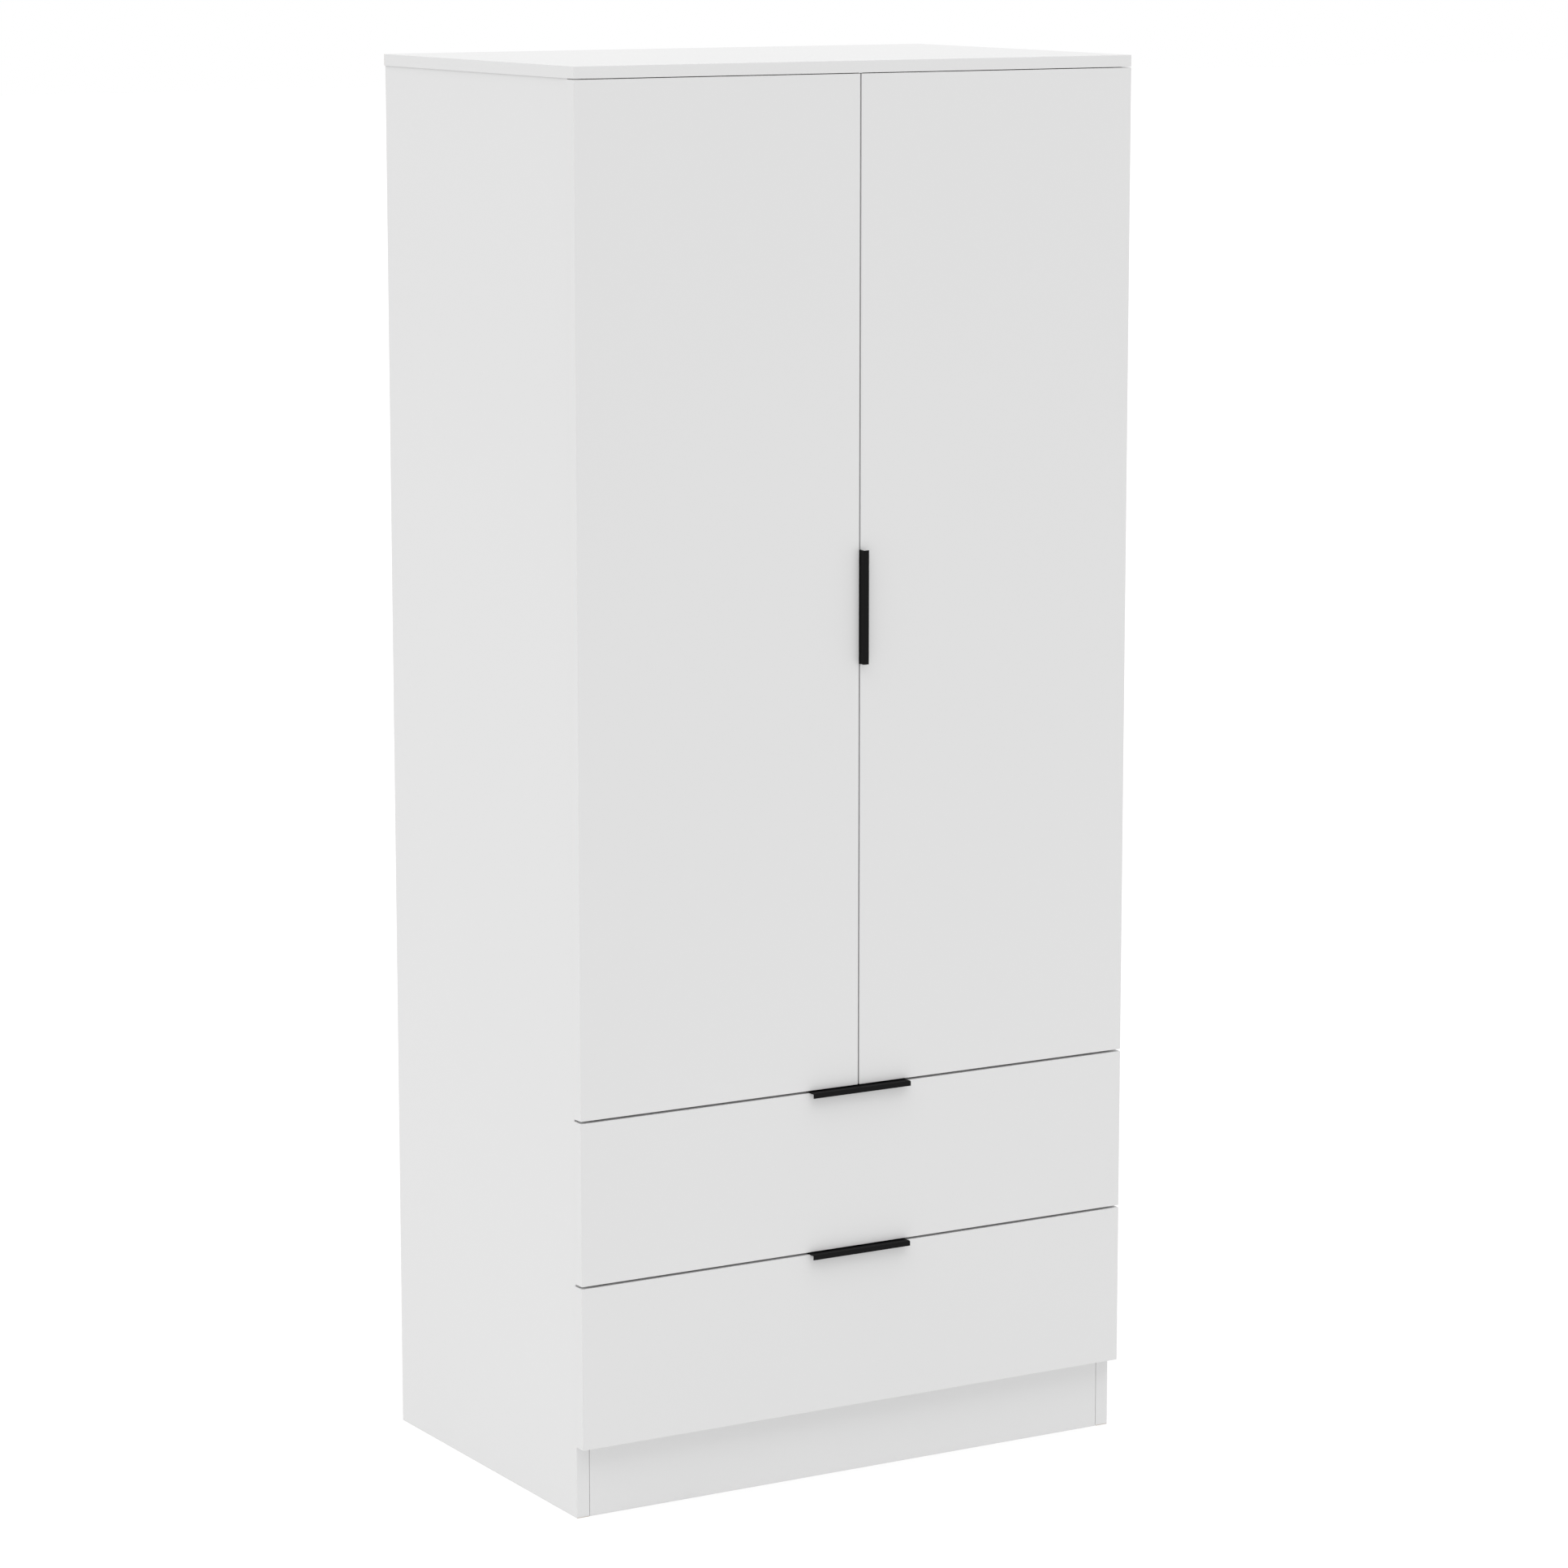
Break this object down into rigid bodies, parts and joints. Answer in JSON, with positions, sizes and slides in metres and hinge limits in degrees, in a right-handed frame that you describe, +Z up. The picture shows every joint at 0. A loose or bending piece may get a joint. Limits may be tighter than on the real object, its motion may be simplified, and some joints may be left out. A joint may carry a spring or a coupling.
{
  "type": "wardrobe with doors",
  "caption": "Flush white board wardrobe with two tall hinged doors over two full-width drawers, slim black edge pulls and a recessed plinth.",
  "frame": {"origin": "on the floor, at the middle of the box around the whole wardrobe with its handles", "axes": "+X to the right seen from the front, +Y to the back, +Z up; the doors and drawers face -Y"},
  "size_m": [0.8, 0.5184, 1.8],
  "materials": {
    "white_board": "white melamine-faced board, fine satin texture, matching edge banding",
    "drawer_board": "white foil-wrapped drawer board",
    "white_hardboard": "thin hardboard, white lacquered on its inner face",
    "white_plastic": "white extruded plastic",
    "buffer_rubber": "clear soft buffer",
    "black_metal": "matt black powder coat",
    "beech": "fluted beech dowel",
    "chrome_tube": "polished",
    "cast_zinc": "die-cast zinc, satin",
    "zinc_sheet": "zinc-plated rolled sheet",
    "screw_steel": "zinc-plated",
    "nickel_steel": "nickel-plated pressed steel"
  },
  "bodies": {
    "carcass": {"back_joining_strip": "white_plastic", "bottom_panel": "white_board", "cam_bolts": "screw_steel", "cam_locks": "cast_zinc", "carcass_screws": "screw_steel", "door_buffers": "buffer_rubber", "front_plinth": "white_board", "hanging_rail": "chrome_tube", "hat_shelf": "white_board", "hinge_arm_screws": "screw_steel", "left_back_panel": "white_hardboard", "left_hinge_arms": "nickel_steel", "left_hinge_plates": "nickel_steel", "left_rail_socket": "cast_zinc", "left_side_panel": "white_board", "lower_drawer_cabinet_slides": "zinc_sheet", "middle_panel": "white_board", "rear_plinth": "white_board", "right_back_panel": "white_hardboard", "right_hinge_arms": "nickel_steel", "right_hinge_plates": "nickel_steel", "right_rail_socket": "cast_zinc", "right_side_panel": "white_board", "top_panel": "white_board", "upper_drawer_cabinet_slides": "zinc_sheet", "wall_brackets": "zinc_sheet", "wood_dowels": "beech"},
    "left_inner_links": {"left_hinge_inner_links": "nickel_steel"},
    "right_inner_links": {"right_hinge_inner_links": "nickel_steel"},
    "left_outer_links": {"left_hinge_outer_links": "nickel_steel"},
    "right_outer_links": {"right_hinge_outer_links": "nickel_steel"},
    "left_door": {"left_door": "white_board", "left_hinge_cups": "nickel_steel", "left_door_screws": "screw_steel"},
    "right_door": {"right_door": "white_board", "right_hinge_cups": "nickel_steel", "right_door_screws": "screw_steel", "door_handle": "black_metal"},
    "upper_drawer": {"upper_drawer_front": "white_board", "upper_drawer_left_side": "drawer_board", "upper_drawer_right_side": "drawer_board", "upper_drawer_back": "drawer_board", "upper_drawer_bottom": "white_hardboard", "upper_drawer_handle": "black_metal", "upper_drawer_screws": "screw_steel", "upper_drawer_dowels": "beech", "upper_drawer_drawer_slides": "zinc_sheet"},
    "lower_drawer": {"lower_drawer_front": "white_board", "lower_drawer_left_side": "drawer_board", "lower_drawer_right_side": "drawer_board", "lower_drawer_back": "drawer_board", "lower_drawer_bottom": "white_hardboard", "lower_drawer_handle": "black_metal", "lower_drawer_screws": "screw_steel", "lower_drawer_dowels": "beech", "lower_drawer_drawer_slides": "zinc_sheet"},
    "upper_middle_slides": {"upper_drawer_middle_slides": "zinc_sheet"},
    "lower_middle_slides": {"lower_drawer_middle_slides": "zinc_sheet"}
  },
  "joints": [
    {"name": "left_inner_link_turn", "type": "hinge", "parent": "carcass", "child": "left_inner_links", "pos_m": [-0.3672, -0.20975, 1.1485], "axis": [0, 0, 1], "range_deg": [0, 23.9]},
    {"name": "left_door_hinge", "type": "hinge", "parent": "left_inner_links", "child": "left_door", "pos_m": [-0.391, -0.23575, 1.1485], "axis": [0, 0, -1], "range_deg": [0, 113.67]},
    {"name": "left_outer_link_turn", "type": "hinge", "parent": "left_door", "child": "left_outer_links", "pos_m": [-0.3853, -0.23705, 1.1485], "axis": [0, 0, 1], "range_deg": [0, 128.9]},
    {"name": "right_inner_link_turn", "type": "hinge", "parent": "carcass", "child": "right_inner_links", "pos_m": [0.3672, -0.20975, 1.1485], "axis": [0, 0, -1], "range_deg": [0, 23.9]},
    {"name": "right_door_hinge", "type": "hinge", "parent": "right_inner_links", "child": "right_door", "pos_m": [0.391, -0.23575, 1.1485], "axis": [0, 0, 1], "range_deg": [0, 113.67]},
    {"name": "right_outer_link_turn", "type": "hinge", "parent": "right_door", "child": "right_outer_links", "pos_m": [0.3853, -0.23705, 1.1485], "axis": [0, 0, -1], "range_deg": [0, 128.9]},
    {"name": "upper_drawer_slide", "type": "slide", "parent": "carcass", "child": "upper_drawer", "axis": [0, -1, 0], "range_m": [0, 0.43]},
    {"name": "upper_middle_slide", "type": "slide", "parent": "carcass", "child": "upper_middle_slides", "axis": [0, -1, 0], "range_m": [0, 0.216]},
    {"name": "lower_drawer_slide", "type": "slide", "parent": "carcass", "child": "lower_drawer", "axis": [0, -1, 0], "range_m": [0, 0.43]},
    {"name": "lower_middle_slide", "type": "slide", "parent": "carcass", "child": "lower_middle_slides", "axis": [0, -1, 0], "range_m": [0, 0.216]}
  ],
  "couplings": [
    {"joint": "left_inner_link_turn", "follows": "left_door_hinge", "ratio": 0.20823},
    {"joint": "left_outer_link_turn", "follows": "left_door_hinge", "ratio": 1.1307},
    {"joint": "right_inner_link_turn", "follows": "right_door_hinge", "ratio": 0.20823},
    {"joint": "right_outer_link_turn", "follows": "right_door_hinge", "ratio": 1.1307},
    {"joint": "upper_middle_slide", "follows": "upper_drawer_slide", "ratio": 0.5},
    {"joint": "lower_middle_slide", "follows": "lower_drawer_slide", "ratio": 0.5}
  ]
}
